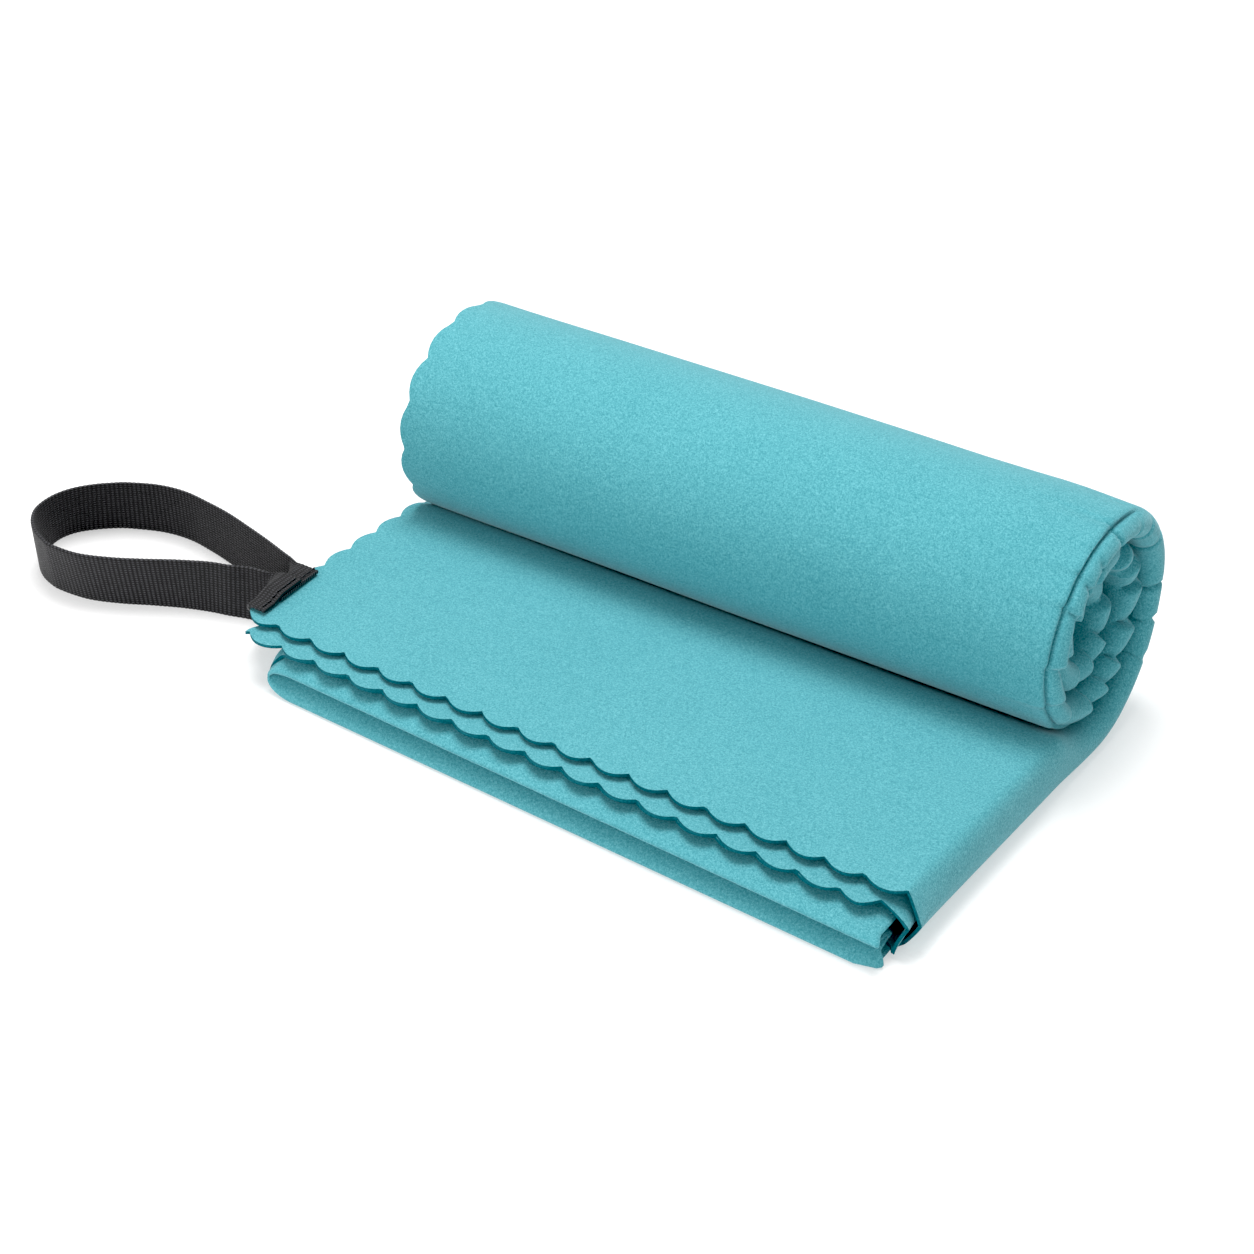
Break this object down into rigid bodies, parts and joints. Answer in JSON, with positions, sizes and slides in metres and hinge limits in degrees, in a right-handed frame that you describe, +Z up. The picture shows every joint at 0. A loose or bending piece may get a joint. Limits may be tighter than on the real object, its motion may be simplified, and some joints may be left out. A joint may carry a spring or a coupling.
{
  "type": "quick dry towel",
  "caption": "Rolled quick dry towel of suede microfibre with a scalloped edge, a folded tail and a swinging webbing hang loop.",
  "frame": {"origin": "on the ground, under the middle of the roll's axis", "axes": "+Z up, +X along the roll towards the folded side, -Y towards the front of the tail"},
  "size_m": [0.4339, 0.2117, 0.1023],
  "materials": {
    "suede_microfibre": "brushed suede microfibre, matt, with a fine mottled nap",
    "webbing": "woven ribbed polyester tape, dull black",
    "seam_thread": "spun polyester sewing thread, black"
  },
  "bodies": {
    "towel": {"towel_roll": "suede_microfibre", "tail_top_leaf": "suede_microfibre", "tail_second_leaf": "suede_microfibre", "tail_third_leaf": "suede_microfibre", "tail_bottom_pleat": "suede_microfibre", "tail_outer_side_fold": "suede_microfibre", "tail_inner_side_fold": "suede_microfibre", "hang_loop_near_end": "webbing", "hang_loop_far_end": "webbing", "seam_needle_thread": "seam_thread", "seam_bobbin_thread": "seam_thread"},
    "loop": {"hang_loop": "webbing"}
  },
  "joints": [
    {"name": "loop_swing", "type": "hinge", "parent": "towel", "child": "loop", "pos_m": [-0.15205, -0.12, 0.02755], "axis": [0, 1, 0], "range_deg": [0, 140]}
  ]
}
